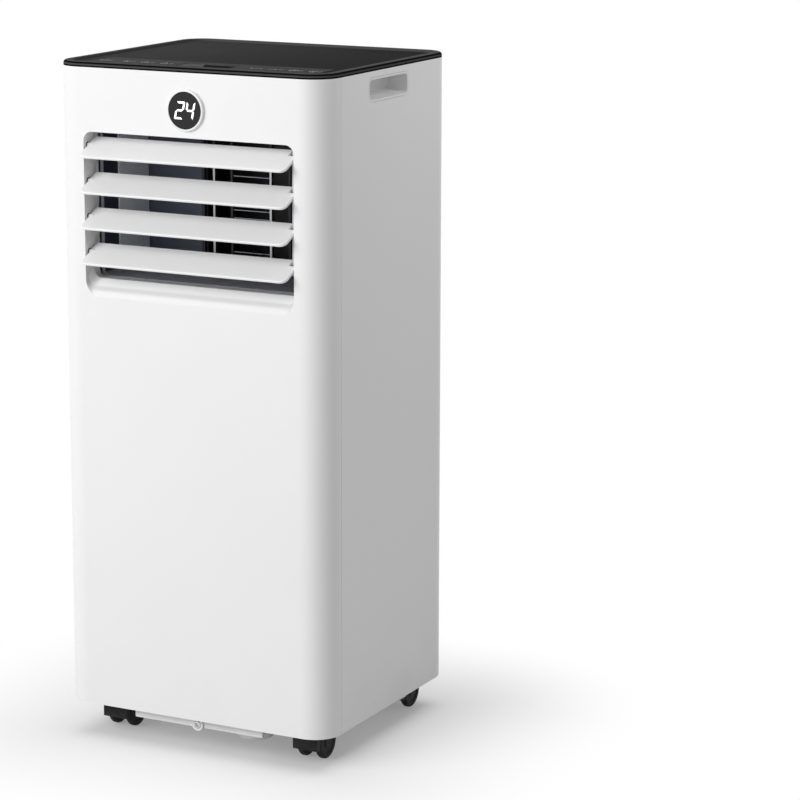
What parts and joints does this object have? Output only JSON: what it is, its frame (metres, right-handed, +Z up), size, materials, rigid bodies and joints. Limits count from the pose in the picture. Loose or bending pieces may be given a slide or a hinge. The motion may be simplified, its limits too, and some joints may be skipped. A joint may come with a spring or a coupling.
{
  "type": "portable air conditioner",
  "caption": "Upright portable air conditioner with a rounded white cabinet, louvred front outlet, round display, black touch top, side grips, rear exhaust and swivel casters.",
  "frame": {"origin": "middle of the floor print, on the floor under the casters", "axes": "+Z up, the front with the air outlet faces -Y, +X to the right of someone who looks at the front"},
  "size_m": [0.304, 0.2964, 0.689],
  "materials": {
    "white_plastic": "satin white moulded plastic",
    "black_plastic": "fine-grained black plastic",
    "black_gloss": "glossy black",
    "dark_plastic": "dark blue-black plastic",
    "grey_plastic": "grey plastic",
    "steel": "zinc-plated steel",
    "copper": "bare copper",
    "aluminium": "fin stock",
    "black_paint": "black enamel on steel",
    "motor_paint": "grey painted steel",
    "rubber": "black rubber",
    "board": "circuit board",
    "filter_mesh": "filter mesh in a plastic frame"
  },
  "bodies": {
    "cabinet": {"front_panel": "white_plastic", "rear_cabinet": "white_plastic", "side_grip_left": "white_plastic", "side_grip_right": "white_plastic", "top_cover": "black_plastic", "control_strip": "black_gloss", "indicator_window": "black_gloss", "display_bezel": "white_plastic", "display_lens": "black_gloss", "display_board": "board", "control_board": "board", "louvre_frame": "white_plastic", "outlet_duct": "dark_plastic", "outlet_guard": "grey_plastic", "swing_motor": "grey_plastic", "base_pan": "white_plastic", "caster_sockets": "steel", "compressor": "black_paint", "compressor_feet": "rubber", "accumulator": "black_paint", "discharge_pipe": "copper", "suction_pipe": "copper", "liquid_pipe": "copper", "condenser_coil": "aluminium", "lower_scroll": "dark_plastic", "lower_fan_motor": "motor_paint", "exhaust_duct": "dark_plastic", "exhaust_port": "white_plastic", "drip_tray": "grey_plastic", "evaporator_coil": "aluminium", "upper_scroll": "dark_plastic", "upper_fan_motor": "motor_paint", "electrical_box": "grey_plastic", "splash_motor": "grey_plastic", "cord_gland": "rubber", "cabinet_screws": "steel"},
    "louvre_1": {"louvre_1": "white_plastic"},
    "louvre_2": {"louvre_2": "white_plastic"},
    "louvre_3": {"louvre_3": "white_plastic"},
    "louvre_4": {"louvre_4": "white_plastic"},
    "louvre_link": {"louvre_link": "white_plastic"},
    "swing_crank": {"swing_crank": "grey_plastic"},
    "upper_blower": {"upper_fan_wheel": "grey_plastic", "upper_fan_shaft": "steel"},
    "lower_blower": {"lower_fan_wheel": "grey_plastic", "lower_fan_shaft": "steel"},
    "splash_wheel": {"splash_wheel": "grey_plastic"},
    "filter": {"filter_cover": "white_plastic", "filter_screen": "filter_mesh"},
    "upper_drain_cap": {"upper_drain_cap": "white_plastic"},
    "lower_drain_plug": {"lower_drain_plug": "rubber"},
    "water_float": {"water_float": "grey_plastic"},
    "caster_front_left": {"caster_hood_front_left": "black_plastic"},
    "wheels_front_left": {"caster_wheels_front_left": "black_plastic"},
    "caster_front_right": {"caster_hood_front_right": "black_plastic"},
    "wheels_front_right": {"caster_wheels_front_right": "black_plastic"},
    "caster_rear_left": {"caster_hood_rear_left": "black_plastic"},
    "wheels_rear_left": {"caster_wheels_rear_left": "black_plastic"},
    "caster_rear_right": {"caster_hood_rear_right": "black_plastic"},
    "wheels_rear_right": {"caster_wheels_rear_right": "black_plastic"}
  },
  "joints": [
    {"name": "louvre_1_tilt", "type": "hinge", "parent": "cabinet", "child": "louvre_1", "pos_m": [0, -0.1268, 0.607], "axis": [1, 0, 0], "range_deg": [-35, 55]},
    {"name": "louvre_2_tilt", "type": "hinge", "parent": "cabinet", "child": "louvre_2", "pos_m": [0, -0.1268, 0.5717], "axis": [1, 0, 0], "range_deg": [-35, 55]},
    {"name": "louvre_3_tilt", "type": "hinge", "parent": "cabinet", "child": "louvre_3", "pos_m": [0, -0.1268, 0.5364], "axis": [1, 0, 0], "range_deg": [-35, 55]},
    {"name": "louvre_4_tilt", "type": "hinge", "parent": "cabinet", "child": "louvre_4", "pos_m": [0, -0.1268, 0.5011], "axis": [1, 0, 0], "range_deg": [-35, 55]},
    {"name": "louvre_link_pivot", "type": "hinge", "parent": "louvre_1", "child": "louvre_link", "pos_m": [0.10725, -0.1152, 0.60579], "axis": [1, 0, 0], "range_deg": [-55, 35]},
    {"name": "swing_crank_turn", "type": "hinge", "parent": "cabinet", "child": "swing_crank", "pos_m": [0.112, -0.1128, 0.55405], "axis": [1, 0, 0], "range_deg": [-35, 55]},
    {"name": "upper_fan_spin", "type": "hinge", "parent": "cabinet", "child": "upper_blower", "pos_m": [-0.035, 0.01, 0.425], "axis": [0, 1, 0], "continuous": true},
    {"name": "lower_fan_spin", "type": "hinge", "parent": "cabinet", "child": "lower_blower", "pos_m": [0.05, 0.06, 0.12], "axis": [0, 1, 0], "continuous": true},
    {"name": "splash_wheel_spin", "type": "hinge", "parent": "cabinet", "child": "splash_wheel", "pos_m": [-0.012, 0.079, 0.056], "axis": [0, 1, 0], "continuous": true},
    {"name": "filter_pull", "type": "slide", "parent": "cabinet", "child": "filter", "axis": [0, 1, 0], "range_m": [0, 0.06]},
    {"name": "upper_drain_cap_pull", "type": "slide", "parent": "cabinet", "child": "upper_drain_cap", "axis": [0, 1, 0], "range_m": [0, 0.03]},
    {"name": "lower_drain_plug_pull", "type": "slide", "parent": "cabinet", "child": "lower_drain_plug", "axis": [0, 1, 0], "range_m": [0, 0.03]},
    {"name": "water_float_rise", "type": "slide", "parent": "cabinet", "child": "water_float", "axis": [0, 0, 1], "range_m": [0, 0.012]},
    {"name": "caster_front_left_swivel", "type": "hinge", "parent": "cabinet", "child": "caster_front_left", "pos_m": [-0.111, -0.093, 0.045], "axis": [0, 0, 1], "continuous": true},
    {"name": "caster_front_left_roll", "type": "hinge", "parent": "caster_front_left", "child": "wheels_front_left", "pos_m": [-0.111, -0.08, 0.017], "axis": [1, 0, 0], "continuous": true},
    {"name": "caster_front_right_swivel", "type": "hinge", "parent": "cabinet", "child": "caster_front_right", "pos_m": [0.111, -0.093, 0.045], "axis": [0, 0, 1], "continuous": true},
    {"name": "caster_front_right_roll", "type": "hinge", "parent": "caster_front_right", "child": "wheels_front_right", "pos_m": [0.111, -0.08, 0.017], "axis": [1, 0, 0], "continuous": true},
    {"name": "caster_rear_left_swivel", "type": "hinge", "parent": "cabinet", "child": "caster_rear_left", "pos_m": [-0.111, 0.093, 0.045], "axis": [0, 0, 1], "continuous": true},
    {"name": "caster_rear_left_roll", "type": "hinge", "parent": "caster_rear_left", "child": "wheels_rear_left", "pos_m": [-0.111, 0.106, 0.017], "axis": [1, 0, 0], "continuous": true},
    {"name": "caster_rear_right_swivel", "type": "hinge", "parent": "cabinet", "child": "caster_rear_right", "pos_m": [0.111, 0.093, 0.045], "axis": [0, 0, 1], "continuous": true},
    {"name": "caster_rear_right_roll", "type": "hinge", "parent": "caster_rear_right", "child": "wheels_rear_right", "pos_m": [0.111, 0.106, 0.017], "axis": [1, 0, 0], "continuous": true}
  ],
  "couplings": [
    {"joint": "louvre_2_tilt", "follows": "louvre_1_tilt", "ratio": 1},
    {"joint": "louvre_3_tilt", "follows": "louvre_1_tilt", "ratio": 1},
    {"joint": "louvre_4_tilt", "follows": "louvre_1_tilt", "ratio": 1},
    {"joint": "louvre_link_pivot", "follows": "louvre_1_tilt", "ratio": -1},
    {"joint": "swing_crank_turn", "follows": "louvre_1_tilt", "ratio": 1}
  ]
}
